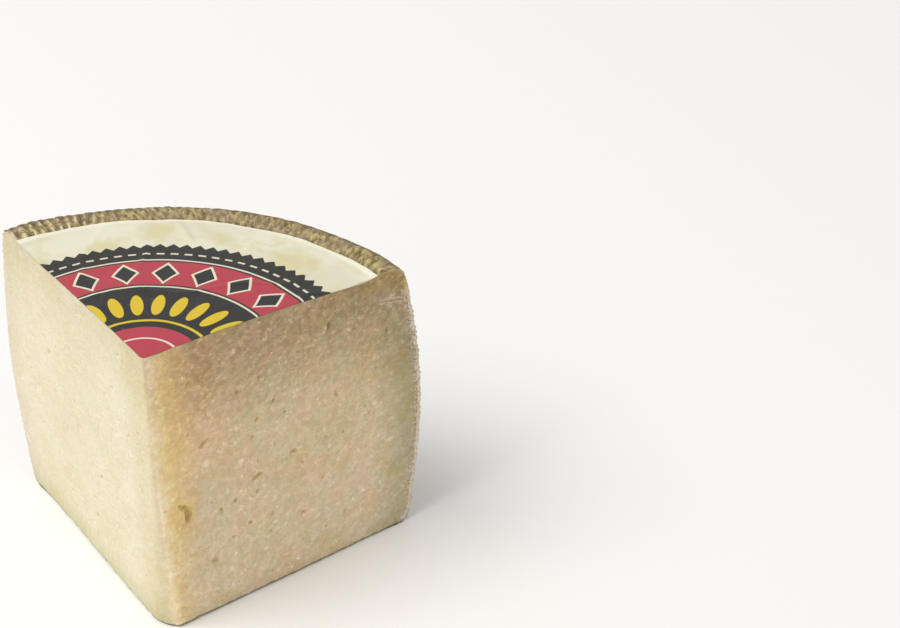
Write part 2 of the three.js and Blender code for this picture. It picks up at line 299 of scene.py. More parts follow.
def setback(side, z):
    """How far the blunt nose eats into a face: little at the top, most at the foot."""
    low = np.clip(1 - z / DRUM_HEIGHT, 0, None)
    return NOSE_SETBACK_TOP + (NOSE_SETBACK[side] - NOSE_SETBACK_TOP) * low**NOSE_TAPER


# %% [markdown]
# ## The rind as a grid
# Rows follow the section, columns run down it with six to a strand. A column sways with the strands,
# so that it stays on its ridge or in its groove and the zigzag comes out crisp. Towards the cuts
# the sway dies out, and the two end columns are put exactly on the cut faces, so that rind and
# paste share their points and the jagged line of the cut rind comes by itself.

# %% Rind grid
RIND_COLUMNS = 264
SWAY_END = 0.12  # share of the turn over which the sway dies out
LATHE_TURN = math.pi / 2  # the CAD measures its lathe angle from -Y, this script from +X


def rind_points(angle, run, row, share, shift, point, normal):
    """Section point, pushed out by the relief and the settled foot, lifted by the ring's rise."""
    push, across = strand_relief(angle + LATHE_TURN, run, row, share, shift)
    radius = point[..., 0] + normal[..., 0] * push + settled_foot(angle + LATHE_TURN, point[..., 1])
    rise = ring_rise(angle, point[..., 0], point[..., 1])
    height = np.maximum(point[..., 1] + normal[..., 1] * push + rise, 0)
    return radius, height, across


end_columns, end_reach = {}, {}
for side in ("right", "left"):
    radius, height, _ = rind_points(
        np.full(len(stations), FACE_ANGLE[side]), stations, row_of, share_in_row, shift_at, section, outward
    )
    height[-1] = 0
    end_reach[side] = reach_of(side, radius, height)
    end_columns[side] = face_point(side, end_reach[side], height)
end_angle = {side: np.arctan2(points[:, 1], points[:, 0]) for side, points in end_columns.items()}

turn_share = np.linspace(0, 1, RIND_COLUMNS + 1)
angles = end_angle["right"][:, None] * (1 - turn_share) + end_angle["left"][:, None] * turn_share
from_end = np.clip(np.minimum(turn_share, 1 - turn_share) / SWAY_END, 0, 1)
sway = (shift_at - (shift_at.min() + shift_at.max()) / 2) / DRUM_RADIUS
angles = angles + sway[:, None] * from_end**2 * (3 - 2 * from_end)
spread_out = lambda a: np.broadcast_to(a[:, None], angles.shape + a.shape[1:])
radius, height, crest = rind_points(
    angles, *(spread_out(a) for a in (stations, row_of, share_in_row, shift_at, section, outward))
)
height[-1] = 0
rind = np.stack([radius * np.cos(angles), radius * np.sin(angles), height], -1)
rind[:, 0], rind[:, -1] = end_columns["right"], end_columns["left"]
print("rind grid:", rind.shape[:2], "belly radius", round(float(radius.max()), 2), "mm")

# %% [markdown]
# ## The cut faces as grids
# Each row of a face runs from the nose to every second station of the rind, and a last narrow strip
# of squares and triangles takes the step from one to two, so the borders match point for point.
# Eyes are hollows in the grid. Around each one the grid is drawn together first, like cloth
# pinched between fingers, so that a hollow of two millimetres still has enough points for its rim.
# Along the bottom the paste has crumbled off against the board, so that edge is worn unevenly.

# %% Eyes
# Along and up in mm, length, width and tilt. The first nine and the first three are hollows in the
# CAD too, and the last one on the right bends the first, the widest, into a comma.
EYES = {
    "right": [
        (12.0, 43.6, 5.8, 3.6, -78), (19.5, 69.0, 4.4, 2.0, 27), (39.0, 47.5, 4.4, 2.0, 16),
        (53.5, 51.5, 3.8, 1.9, 10), (20.8, 21.0, 3.0, 2.4, 0), (24.5, 40.0, 2.6, 1.6, 90),
        (71.5, 67.0, 2.6, 1.8, -60), (69.0, 95.5, 2.8, 1.9, 50), (43.0, 22.5, 2.4, 1.7, 0),
        (30.0, 41.3, 2.0, 1.5, 60), (39.9, 69.9, 2.2, 1.4, 55), (46.7, 74.6, 1.8, 1.3, 40),
        (32.9, 83.4, 2.0, 1.2, 35), (91.9, 85.0, 2.0, 1.3, 70), (43.8, 30.0, 2.0, 1.3, 45),
        (10.2, 47.2, 4.8, 2.4, -28),
    ],
    "left": [
        (72.5, 72.0, 3.0, 1.8, -50), (41.0, 39.0, 2.2, 1.6, 0), (47.5, 19.0, 2.4, 1.6, -40),
        (17.9, 100.9, 1.8, 1.2, -45), (8.1, 76.3, 2.0, 1.1, -60),
    ],
}
SCATTERED, CLEAR_OF_OTHERS = 44, 5.5
EYE_DEPTH = 0.62  # of an eye's width
FLOW = math.radians(38)  # the curd's grain rises away from the front edge at about this angle


def scattered_eyes(side, count, seed):
    """Small pits over a face, turned roughly along the grain; each is kept clear of the others."""
    draw = np.random.default_rng(seed)
    kept = [eye[:2] for eye in EYES[side]]
    pits = []
    while len(pits) < count:
        place = draw.uniform((6, 6), (90, 98))
        if min(math.dist(place, other) for other in kept) > CLEAR_OF_OTHERS:
            kept.append(tuple(place))
            length = draw.uniform(1.0, 2.0)
            width = length * draw.uniform(0.5, 0.8)
            pits.append((*place, length, width, math.degrees(FLOW) + draw.normal(-12, 20)))
    return pits


eye_seeds = {"right": 21, "left": 22}
eyes = {side: EYES[side] + scattered_eyes(side, SCATTERED, seed) for side, seed in eye_seeds.items()}
print("eyes:", {side: len(found) for side, found in eyes.items()})


# %% Face grids
FACE_STEPS = 122
BASE_WORN, WORN_HEIGHT = 0.6, 2.2  # how far the paste's bottom edge has crumbled off, up to where
PINCH, PINCH_REACH = 0.5, 1.9  # how hard the grid is drawn to an eye, and over how many of its lengths


def pinched(along, height, found):
    """Moves grid points towards each eye by PINCH times the offset, fading as a bell over its reach."""
    for a, h, length, _, _ in found:
        da, dh = along - a, height - h
        pull = PINCH * np.exp(-(da**2 + dh**2) / (PINCH_REACH * max(length, 1.6) / 2) ** 2)
        along, height = along - pull * da, height - pull * dh
    return along, height


def hollow_depth(along, height, found, seed):
    """Depth of the eyes and 0 to 1 how deep into one: a bowl over an ellipse whose outline is wavy."""
    depth, share = np.zeros_like(along), np.zeros_like(along)
    draw = np.random.default_rng(seed)
    for a, h, length, width, tilt in found:
        c, s = math.cos(math.radians(tilt)), math.sin(math.radians(tilt))
        u = ((along - a) * c + (height - h) * s) / (length / 2)
        v = (-(along - a) * s + (height - h) * c) / (width / 2)
        about, (p, q) = np.arctan2(v, u), draw.uniform(0, 6.28, 2)
        out = np.hypot(u, v) * (1 + 0.16 * np.sin(2 * about + p) + 0.1 * np.sin(3 * about + q))
        bowl = np.clip(1 - out**2.4, 0, 1) ** 0.7
        depth += bowl * EYE_DEPTH * width
        share = np.maximum(share, np.clip(1.25 - out, 0, 1))
    return depth, share


def face_grid(side, seed):
    """Straight rows from the nose to the rind, the first bent onto the crowned seat, with the eyes."""
    seat_line = lambda reach: top_height(reach) + ring_rise(FACE_ANGLE[side], reach) - SEAT_DEPTH
    seat = seat_line(SEAT_RADIUS)
    edge_height = np.concatenate([[seat], end_columns[side][:, 2]])[::2]
    edge_reach = np.concatenate([[SEAT_RADIUS], end_reach[side]])[::2]
    rise = (section_run[-1] - np.concatenate([[-1], stations])[::2]) / (section_run[-1] + 1)
    nose_height = (top_height(0) - SEAT_DEPTH) * rise**0.93
    nose_reach = setback(side, nose_height)
    across = np.linspace(0, 1, FACE_STEPS + 1)
    along = nose_reach[:, None] * (1 - across) + edge_reach[:, None] * across
    height = nose_height[:, None] * (1 - across) + edge_height[:, None] * across
    height += (seat_line(along[0]) - height[0]) * np.clip(1 - (1 - rise[:, None]) / 0.12, 0, 1)
    fade = np.minimum(across, 1 - across)[None, :] * 2
    moved_along, moved_height = pinched(along, height, eyes[side])
    inner = np.s_[1:-1, 1:-1]
    along[inner], height[inner] = moved_along[inner], moved_height[inner]
    depth, hollow = hollow_depth(along, height, eyes[side], seed)
    lumps = 0.07 * noise(along / 4.2, height / 3.6, seed + 1)
    lumps = lumps + 0.06 * noise(along / 1.7, height / 1.5, seed + 2)
    worn = BASE_WORN + 0.3 * noise(along / 2.6, 0.4, seed + 3)
    worn = worn * np.clip(1 - height / WORN_HEIGHT, 0, 1) ** 2
    sunk = depth - lumps * np.clip(12 * fade, 0, 1)
    sunk[0], sunk[:, [0, -1]] = 0, 0
    sunk += worn * np.clip((1 - across) * 12, 0, 1)
    return face_point(side, along, height, sunk), along, height, hollow


faces = {side: face_grid(side, seed) for side, seed in (("right", 31), ("left", 41))}
for side in faces:
    faces[side][0][1:, -1] = end_columns[side][1::2]
print("face grid:", faces["right"][0].shape[:2])

# %% [markdown]
# ## Nose, seat and base close the body
# The nose is a bowed strip between the two faces. The seat of the label and the base are flat or
# nearly flat, so each is a few shrinking copies of its border round a middle point.

# %% Nose, seat and base
NOSE_STEPS = 10
NOSE_FULLNESS, FULLER_TOP = 0.32, 0.56  # share of the way to the sharp edge, at the foot and more


def nose_grid():
    """Quadratic curve from face to face at each height, drawn towards the sharp edge by its fullness."""
    left, right_ = faces["left"][0][:, 0], faces["right"][0][:, 0]
    sharp = np.concatenate([front_edge(left[:, 2]), left[:, 2:3]], 1)
    middle = (left + right_) / 2
    fullness = NOSE_FULLNESS + FULLER_TOP * (left[:, 2:3] / DRUM_HEIGHT)
    pull = middle + fullness * (sharp - middle)
    t = np.linspace(0, 1, NOSE_STEPS + 1)[None, :, None]
    return (1 - t) ** 2 * left[:, None] + 2 * t * (1 - t) * pull[:, None] + t**2 * right_[:, None]


def closing_fan(border, shares, surface):
    """Copies of a closed border, drawn in towards its middle by each share and laid on a surface."""
    middle = border.mean(0)
    rings = np.stack([middle + (border - middle) * share for share in shares])
    rings[1:, :, 2] = surface(np.hypot(rings[1:, :, 0], rings[1:, :, 1]))
    return np.concatenate([rings, rings[:, :1]], 1)


nose = nose_grid()
seat_height = top_height(SEAT_RADIUS) + ring_rise(angles[0], SEAT_RADIUS) - SEAT_DEPTH
seat_ring = np.stack([SEAT_RADIUS * np.cos(angles[0]), SEAT_RADIUS * np.sin(angles[0]), seat_height], -1)
seat_ring[0], seat_ring[-1] = faces["right"][0][0, -1], faces["left"][0][0, -1]
rind = np.concatenate([seat_ring[None], rind])
crest = np.concatenate([crest[:1], crest])


def border_of(row):
    """The closed line of one row: out along the right face, round the rind, back, and over the nose."""
    return np.concatenate(
        [faces["right"][0][row, :-1], rind[row, :-1], faces["left"][0][row, :0:-1], nose[row, :-1]]
    )


seat = closing_fan(border_of(0), (1, 0.95, 0.5, 0.1, 0), lambda r: top_height(r) - SEAT_DEPTH - 0.03)
base = closing_fan(border_of(-1), (1, 0.6, 0), lambda r: np.zeros_like(r))
print("nose", nose.shape[:2], "seat", seat.shape[:2], "base", base.shape[:2])

# %% [markdown]
# ## From grids to one closed mesh
# The patches are numbered, points that two of them share become one, and each patch is turned so
# that its faces look away from the middle of the body. Masks that only numpy knows, such as how
# far a point lies from the rind, travel to the materials as attributes of the mesh.


# %% Mesh helpers
MERGE_STEPS = 2e3  # per mm; points that round to the same step become one


def grid_quads(rows, columns, start):
    """Corner numbers of the squares of a grid whose points are numbered row by row from start."""
    first = start + (np.arange(rows - 1)[:, None] * columns + np.arange(columns - 1)[None, :]).ravel()
    return np.stack([first, first + 1, first + columns + 1, first + columns], 1)


def looks_out(points, quads, middle):
    """True if the quads' summed area vector points away from the middle."""
    a, b, c, d = (points[quads[:, k]] for k in range(4))
    area = np.cross(c - a, d - b).sum(0)
    return float(area @ (points.mean(0) - middle)) > 0


def build_mesh(name, patches, middle, masks):
    """Joins grids of (points, material number, masks) into one mesh in metres; returns the object.
    Doubled points are merged, squares with a side of no length become triangles. The last input
    says how many numbers each mask has; a mask that a grid lacks is 0 there."""
    points, quads, finishes, start = [], [], [], 0
    values = {key: [] for key in masks}
    for grid, material, fields in patches:
        rows, columns = grid.shape[:2]
        flat = grid.reshape(-1, 3)
        squares = grid_quads(rows, columns, 0)
        if not looks_out(flat, squares, middle):
            squares = squares[:, ::-1]
        quads.append(squares + start)
        finishes.append(np.full(len(squares), material))
        points.append(flat)
        for key, width in masks.items():
            field = fields.get(key, np.zeros((len(flat), width)))
            values[key].append(np.asarray(field, float).reshape(len(flat), width))
        start += len(flat)
    points, quads, finishes = np.concatenate(points), np.concatenate(quads), np.concatenate(finishes)
    rounded = np.round(points * MERGE_STEPS).astype(int)
    _, first, number = np.unique(rounded, axis=0, return_index=True, return_inverse=True)
    corners = number.ravel()[quads]
    keep = corners != np.roll(corners, 1, axis=1)
    sizes = keep.sum(1)
    solid = sizes > 2
    mesh = bpy.data.meshes.new(name)
    mesh.vertices.add(len(first))
    mesh.vertices.foreach_set("co", ((points[first] + DRUM_AXIS) * MM).ravel())
    mesh.loops.add(int(sizes[solid].sum()))
    mesh.loops.foreach_set("vertex_index", corners[solid][keep[solid]])
    mesh.polygons.add(int(solid.sum()))
    mesh.polygons.foreach_set("loop_start", np.concatenate([[0], np.cumsum(sizes[solid])[:-1]]))
    mesh.polygons.foreach_set("material_index", finishes[solid])
    mesh.update(calc_edges=True)
    for key, parts in values.items():
        field = np.concatenate(parts)[first]
        kind, slot = ("FLOAT", "value") if masks[key] == 1 else ("FLOAT_VECTOR", "vector")
        mesh.attributes.new(key, kind, "POINT").data.foreach_set(slot, field.ravel())
    mesh.validate()
    obj = bpy.data.objects.new(name, mesh)
    bpy.context.scene.collection.objects.link(obj)
    return obj


def report(obj):
    """Prints the size, the triangles, and whether every edge lies between two faces."""
    mesh = obj.data
    mesh.calc_loop_triangles()
    edges = np.zeros(len(mesh.loops), int)
    mesh.loops.foreach_get("edge_index", edges)
    uses = np.bincount(edges, minlength=len(mesh.edges))
    corners = np.zeros(len(mesh.loop_triangles) * 3, int)
    mesh.loop_triangles.foreach_get("vertices", corners)
    co = np.zeros(len(mesh.vertices) * 3)
    mesh.vertices.foreach_get("co", co)
    a, b, c = co.reshape(-1, 3)[corners].reshape(-1, 3, 3).transpose(1, 0, 2)
    volume = float((a * np.cross(b, c)).sum() / 6) * 1e6
    print(f"{obj.name}: {len(corners) // 3} triangles, edges open {int((uses != 2).sum())}, {volume:.1f} cm3")


# %% Masks that travel with the mesh
def distance_to_line(points, line):
    """Shortest distance from each point to a line of points, both in the plane."""
    found = np.full(len(points), np.inf)
    for a, b in zip(line[:-1], line[1:]):
        t = np.clip(((points - a) @ (b - a)) / ((b - a) @ (b - a)), 0, 1)
        found = np.minimum(found, np.linalg.norm(points - a - t[:, None] * (b - a), axis=1))
    return found


def face_fields(side):
    """Place on the face, distances to rind, base and top, and how deep in an eye; -1 side is left."""
    _, along, height, hollow = faces[side]
    line = np.stack([end_reach[side], end_columns[side][:, 2]], 1)[::8]
    to_rind = distance_to_line(np.stack([along.ravel(), height.ravel()], 1), line).reshape(along.shape)
    to_top = top_height(along) - SEAT_DEPTH - height
    return {
        "place": np.stack([along, height, np.full_like(along, 1 if side == "right" else -1)], -1),
        "depth": np.stack([to_rind, height, to_top], -1),
        "hollow": hollow,
    }


def face_patches(side):
    """The face up to its last column but one, and the strip from there to the rind. The rind has two
    steps to one of the face, so in the strip each of the face's points comes twice."""
    grid, fields = faces[side][0], face_fields(side)
    doubled = lambda a: np.repeat(a[:, -2:], 2, axis=0)[:-1]
    strip = doubled(grid)
    strip[:, 1] = rind[:, 0 if side == "right" else -1]
    return [
        (grid[:, :-1], PASTE, {key: field[:, :-1] for key, field in fields.items()}),
        (strip, PASTE, {key: doubled(field) for key, field in fields.items()}),
    ]


nose_height = np.repeat(nose[:, :1, 2], NOSE_STEPS + 1, 1)
nose_side = np.broadcast_to(np.linspace(-1, 1, NOSE_STEPS + 1), nose_height.shape)
nose_edge = np.where(nose_side < 0, setback("left", nose_height), setback("right", nose_height))
nose_top = top_height(0) - SEAT_DEPTH - nose_height
nose_fields = {
    "place": np.stack([np.abs(nose_side) * nose_edge, nose_height, nose_side], -1),
    "depth": np.stack([np.full_like(nose_height, 90), nose_height, nose_top], -1),
}
rind_run = np.broadcast_to(np.concatenate([[-1], stations])[:, None], crest.shape)
rind_along = np.concatenate([angles[:1], angles]) * DRUM_RADIUS
rind_shift = np.concatenate([[0], shift_at])[:, None]
rind_fields = {
    "place": np.stack([rind_along, rind[..., 2], np.zeros_like(crest)], -1),
    "strand": np.stack([rind_along - rind_shift, rind_run, crest], -1),
}

# %% The cheese
PASTE, RIND = 0, 1
body_middle = np.array([0.0, 60.0, 50.0])
cheese = build_mesh(
    "cheese_wedge",
    [
        (rind, RIND, rind_fields),
        *face_patches("right"),
        *face_patches("left"),
        (nose, PASTE, nose_fields),
        (seat, RIND, {"place": seat}),
        (base, RIND, {"place": base}),
    ],
    body_middle,
    {"place": 3, "depth": 3, "hollow": 1, "strand": 3},
)
cheese.data.shade_smooth()
cheese.data.set_sharp_from_angle(angle=math.radians(42))
report(cheese)
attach(cheese, "root")
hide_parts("cheese")

# %% [markdown]
# ## The paper label
# A thin sheet, cut with the cheese. It is a grid between the two cuts, from the blunt front edge
# to the rim. The glue has dried unevenly, so the sheet has low creases, and its cut edges stand a
# hair proud of the paste. A closed sheet with two sides and four narrow edges can be baked and
# printed; a single surface could not.

# %% Label grids
LABEL_STEPS, LABEL_COLUMNS = 100, 120
FOLD_FROM, FOLD_TO, FOLD_HEIGHT, FOLD_WIDTH = (-11.5, 84), (-4, 72.5), 0.7, 0.8
EDGE_PROUD, EDGE_UNEVEN = 0.16, 0.14  # how far the cut edges stand out of the paste


def label_rim(angle):
    """Radius of the rim, cut by hand: two waves beating against each other, a little noise, and less
    radius at the back."""
    turned = angle + LATHE_TURN
    wave = PAPER_WAVE * np.sin(11 * turned) * np.cos(5 * turned + 1) + 0.16 * noise(turned * 50, 0.3, 66)
    return LABEL_RADIUS + wave - PAPER_SHORT * np.clip(np.cos(2 * (turned - math.pi)), 0, 1)


def crease(x, y, seed):
    """A few sharp low folds: high where a smooth noise crosses nought, 0 to 1."""
    return np.clip(1 - np.abs(noise(x, y, seed)) / 0.12, 0, 1) ** 2


def segment_distance(x, y, start, end):
    """Distance in the plane from each point to the straight stretch between two places."""
    dx, dy = end[0] - start[0], end[1] - start[1]
    t = np.clip(((x - start[0]) * dx + (y - start[1]) * dy) / (dx * dx + dy * dy), 0, 1)
    return np.hypot(x - start[0] - t * dx, y - start[1] - t * dy)


def label_grid():
    """Rows from the front edge to the rim; across them a bowed line that turns into an arc."""
    out = np.linspace(0, 1, LABEL_STEPS + 1) ** 1.05
    start, height = setback("right", DRUM_HEIGHT + 2.0), top_height(0)
    sides = {}
    for side in ("right", "left"):
        reach = start + (label_rim(FACE_ANGLE[side]) - start) * out
        proud = EDGE_PROUD + EDGE_UNEVEN * noise(reach / 2.3, 0.5, 51 + len(side))
        sides[side] = face_point(side, reach, np.full_like(reach, height), -proud)[:, :2]
    a, b = sides["right"][:, None], sides["left"][:, None]
    t = np.linspace(0, 1, LABEL_COLUMNS + 1)[None, :, None]
    between = lambda one, other: one * (1 - t[..., 0]) + other * t[..., 0]
    pull = (a + b) / 2 * (1 - 0.7 * (1 - out[:, None, None]) ** 6)
    bowed = (1 - t) ** 2 * a + 2 * t * (1 - t) * pull + t**2 * b
    angle = between(np.arctan2(a[..., 1], a[..., 0]), np.arctan2(b[..., 1], b[..., 0]))
    radius = between(np.linalg.norm(a, axis=-1), np.linalg.norm(b, axis=-1))
    wavy = label_rim(angle) - between(label_rim(angle[:, :1]), label_rim(angle[:, -1:]))
    radius = radius + wavy * out[:, None] ** 6
    arc = np.stack([radius * np.cos(angle), radius * np.sin(angle)], -1)
    turning = smooth_step(out, 0, 0.3)[:, None, None]
    return bowed * (1 - turning) + arc * turning


flat_label = label_grid()
x, y = flat_label[..., 0], flat_label[..., 1]
lie = top_height(np.hypot(x, y)) + ring_rise(np.arctan2(y, x), np.hypot(x, y))
small_folds = crease(x / 12, y / 15 + 7, 62) * np.clip(noise(x / 30, y / 30, 63) + 0.3, 0, 1)
folds = 0.32 * crease(x / 26 + 3, y / 31, 61) + 0.2 * small_folds
folds = folds + FOLD_HEIGHT * np.exp(-((segment_distance(x, y, FOLD_FROM, FOLD_TO) / FOLD_WIDTH) ** 2))
cockle = 0.07 * (noise(x / 7, y / 6, 64) + 1) + 0.03 * (noise(x / 2.6, y / 2.3, 65) + 1)
from_front = np.linspace(0, 1, LABEL_STEPS + 1)[:, None]
border_fade = np.minimum(np.minimum(from_front, 1 - from_front) * 25, 1)
label_top = np.concatenate([flat_label, (lie + PAPER_PROUD + folds * border_fade + cockle)[..., None]], -1)
label_under = np.concatenate([flat_label, (lie + PAPER_PROUD - PAPER)[..., None]], -1)


def ink_fields(grid, ink):
    """1 on the printed side, 0 below, so the edges stay bare paper."""
    return {"ink": np.broadcast_to(np.asarray(ink, float), grid.shape[:2])}


cuts = (np.s_[:, 0], np.s_[:, -1], np.s_[0], np.s_[-1])
edges = [np.stack([label_top[cut], label_under[cut]]) for cut in cuts]
label = build_mesh(
    "round_label",
    [(label_top, 0, ink_fields(label_top, 1)), (label_under, 0, ink_fields(label_under, 0))]
    + [(edge, 0, ink_fields(edge, [[1], [0]])) for edge in edges],
    np.concatenate([label_top, label_under]).mean((0, 1)),
    {"ink": 1},
)
label.data.shade_smooth()
label.data.set_sharp_from_angle(angle=math.radians(50))
report(label)
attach(label, "root")
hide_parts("label")

# %% [markdown]
# ## Materials: the tools
# A finish is a small network of nodes. Two helpers keep it readable: one adds any node, and one
# wraps an output so that plain arithmetic on it adds Math nodes. Colours are written as they look
# on a screen, 0 to 255, and turned into the linear values that the renderer works with. A finish
# starts from two plain colours, and then each line lays one tint or one colour over what is there,
# through a mask of its own.


# %% Node helpers
def screen(r, g, b):
    """A colour as seen on a screen, as linear red, green, blue and alpha."""
    share = np.array([r, g, b]) / 255
    linear = np.where(share <= 0.04045, share / 12.92, ((share + 0.055) / 1.055) ** 2.4)
    return (*[float(v) for v in linear], 1.0)


def feed(socket, value):
    """Links an output into a socket, or sets the socket to a number, a vector or a colour."""
    if value is None:
        return
    value = value.socket if isinstance(value, Field) else value
    if isinstance(value, bpy.types.NodeSocket):
        socket.id_data.links.new(value, socket)
    else:
        socket.default_value = value


def add(tree, kind, *inputs, out=0, **settings):
    """Adds one shader node, sets it up, feeds its inputs in their order and returns an output."""
    node = tree.nodes.new("ShaderNode" + kind)
    for name, value in settings.items():
        setattr(node, name, value)
    for socket, value in zip(node.inputs, inputs):
        feed(socket, value)
    return Field(node.outputs[out])


class Field:
    """A value that varies over a surface. Arithmetic on it adds Math nodes to its own tree."""

    def __init__(self, socket):
        self.socket, self.tree = socket, socket.id_data

    def math(self, operation, *others):
        return add(self.tree, "Math", self, *others, operation=operation)

    def __add__(self, other):
        return self.math("ADD", other)

    def __sub__(self, other):
        return self.math("SUBTRACT", other)

    def __mul__(self, other):
        return self.math("MULTIPLY", other)

    def __truediv__(self, other):
        return self.math("DIVIDE", other)

    def ramp(self, low, high, start=0.0, end=1.0):
        """start below low, end above high, and a smooth step from one to the other in between."""
        return add(self.tree, "MapRange", self, low, high, start, end, interpolation_type="SMOOTHSTEP")

    def fall(self, low, high):
        """1 below low, 0 above high, and a smooth step from one to the other in between."""
        return self.ramp(low, high, 1.0, 0.0)

    def times(self, x, y, z):
        """A vector stretched along its three axes."""
        return add(self.tree, "VectorMath", self, (x, y, z), operation="MULTIPLY")

    def parts(self):
        """The three parts of a vector."""
        node = self.tree.nodes.new("ShaderNodeSeparateXYZ")
        feed(node.inputs[0], self)
        return [Field(output) for output in node.outputs]

    def tinted(self, share, r, g, b):
        """This colour, multiplied by a tint where the share is 1; a tint above 1 brightens."""
        return blend(share, self, (r, g, b, 1.0), "MULTIPLY")

    def covered(self, share, r, g, b):
        """This colour, going over to one as seen on a screen as the share goes from 0 to 1."""
        return blend(share, self, screen(r, g, b))


def blend(share, a, b, how="MIX"):
    """Colour a, going over to b (or tinted by b) as the share goes from 0 to 1."""
    node = share.tree.nodes.new("ShaderNodeMix")
    node.data_type, node.blend_type = "RGBA", how
    for socket, value in zip((node.inputs[0], node.inputs[6], node.inputs[7]), (share, a, b)):
        feed(socket, value)
    return Field(node.outputs[2])


def attribute(tree, name):
    """A mask or vector that the mesh carries."""
    return add(tree, "Attribute", attribute_name=name, out=1)


def amount(tree, name):
    """A single number that the mesh carries."""
    return add(tree, "Attribute", attribute_name=name, out=2)


def millimetres(tree):
    """Place on the piece in millimetres, from its Object coordinates."""
    return add(tree, "TexCoord", out=3).times(1000, 1000, 1000)


def clouds(vector, scale, *detail_and_roughness, out=0):
    """Blender's noise at a place given in mm, with scale waves to a millimetre."""
    return add(vector.tree, "TexNoise", vector, None, scale, *detail_and_roughness, out=out)


# %% [markdown]
# ## Effects that the finishes share
# Cheese, rind and paper are all blotched and flecked, only at other sizes. A blotch is a noise
# with its contrast raised. A fleck is a cell of a Voronoi pattern: a random part of the cells gets
# one, each with its own size. A thread follows the line where a noise crosses its middle value,
# which is how the curd's pale veins wander between the grains.


# %% Node groups
def new_group(name, **numbers):
    """A node group with a Vector, some numbers and a Mask to fill; returns it, its inputs and end."""
    tree = bpy.data.node_groups.new(name, "ShaderNodeTree")
    tree.interface.new_socket("Vector", in_out="INPUT", socket_type="NodeSocketVector")
    for number, value in numbers.items():
        socket = tree.interface.new_socket(number, in_out="INPUT", socket_type="NodeSocketFloat")
        socket.default_value = value
    tree.interface.new_socket("Mask", in_out="OUTPUT", socket_type="NodeSocketFloat")
    start, end = tree.nodes.new("NodeGroupInput"), tree.nodes.new("NodeGroupOutput")
    return tree, [Field(socket) for socket in start.outputs[:-1]], end


def make_blotch():
    """Noise of a size in mm, stepped from Low to High."""
    tree, inputs, end = new_group("blotch", Size=10.0, Detail=3.0, Low=0.4, High=0.6)
    vector, size, detail, low, high = inputs
    value = clouds(vector, size.math("POWER", -1.0), detail, 0.55)
    feed(end.inputs[0], value.ramp(low, high))
    return tree


def make_fleck():
    """Spots of about Size mm in a Share of the cells, which are twice and a half as wide."""
    tree, (vector, size, share, soft), end = new_group("fleck", Size=1.5, Share=0.5, Soft=0.5)
    node = tree.nodes.new("ShaderNodeTexVoronoi")
    feed(node.inputs["Vector"], vector)
    feed(node.inputs["Scale"], (size * 2.5).math("POWER", -1.0))
    pick, own, _ = Field(node.outputs["Color"]).parts()
    radius = own * 0.2 + 0.16
    inner = radius * (soft * -1.0 + 1.0)
    spot = Field(node.outputs["Distance"]).fall(inner, radius)
    feed(end.inputs[0], spot * pick.math("LESS_THAN", share))
    return tree


def make_thread():
    """Short bent threads: where a noise of a size in mm crosses its middle value, within Width of
    it, broken up by a second noise so that about a Share is left."""
    tree, (vector, size, width, share), end = new_group("thread", Size=3.0, Width=0.03, Share=0.5)
    scale = size.math("POWER", -1.0)
    off_middle = (clouds(vector, scale, 1.0) - 0.5).math("ABSOLUTE")
    line = off_middle.fall(0.0, width)
    moved = add(tree, "VectorMath", vector, (40.0, 7.0, 23.0))
    low = share * -0.3 + 0.62
    kept = add(tree, "MapRange", clouds(moved, scale, 1.0), low, low + 0.06, 0.0, 1.0)
    feed(end.inputs[0], line * kept)
    return tree


def effect(group):
    """A function that puts the group into a vector's material, with values of its own."""

    def placed(vector, *values):
        node = vector.tree.nodes.new("ShaderNodeGroup")
        node.node_tree = group
        for socket, value in zip(node.inputs, (vector, *values)):
            feed(socket, value)
        return Field(node.outputs[0])

    return placed


blotch, fleck, thread = effect(make_blotch()), effect(make_fleck()), effect(make_thread())
print("effects:", [group.name for group in bpy.data.node_groups])


def new_material(name, **principled):
    """A material whose Principled shader gets plain values; returns it, its tree and the shader."""
    material = bpy.data.materials.new(name)
    material.use_nodes = True
    shader = material.node_tree.nodes["Principled BSDF"]
    for socket, value in principled.items():
        shader.inputs[socket.replace("_", " ").title().replace("Ior", "IOR")].default_value = value
    return material, material.node_tree, shader


# %% [markdown]
# ## The paste
# Cured paste is ivory and waxy, with pale flecks and short veins where the curd has set hard, all
# drawn out along the grain. Along the front edge it is painted pale and golden, as painted light: the
# glow of light shining through the edge. It is browner towards the rind. On the right cut it is
# darker and browner towards the label, as painted shade, and paler low down, as painted light from
# the floor. The last few millimetres before the rind are dry and crumbly, with a pale skin that is
# partly a painted highlight where the rim catches the light, and the foot has a grey crust. The right
# cut, which lies in shade, is painted a tone deeper and browner than the left one: painted shade.
# Light gets a few millimetres into cheese, so the shader has some subsurface scattering.


# %% Bump
def bumped(tree, shader, height, strength, distance):
    """Feeds a height into the shader's normal; distance is how many metres a height of 1 stands up."""
    bump = tree.nodes.new("ShaderNodeBump")
    bump.inputs["Strength"].default_value, bump.inputs["Distance"].default_value = strength, distance
    feed(bump.inputs["Height"], height)
    feed(shader.inputs["Normal"], bump.outputs[0])


# %% Paste: masks
paste, tree, shader = new_material(
    "cured_paste",
    subsurface_weight=0.3,
    subsurface_radius=(1.0, 0.62, 0.3),
    subsurface_scale=0.004,
    specular_ior_level=0.35,
)
place = millimetres(tree)
along, height, side = attribute(tree, "place").parts()
to_rind, to_base, to_top = attribute(tree, "depth").parts()
hollow = amount(tree, "hollow")
turned = add(tree, "VectorRotate", place, None, None, math.radians(-26), rotation_type="X_AXIS")
grain = turned.times(1, 0.45, 1)
shade = side.ramp(-0.4, 1.0)  # 1 on the right cut
lit = shade.fall(0, 1)  # 1 on the left cut
uneven = clouds(place, 0.2, 3.0) * 7.0 - 3.5
wobble = clouds(place, 0.6, 2.0, out=1).times(1.8, 1.8, 1.8)
bent = add(tree, "VectorMath", place, wobble)

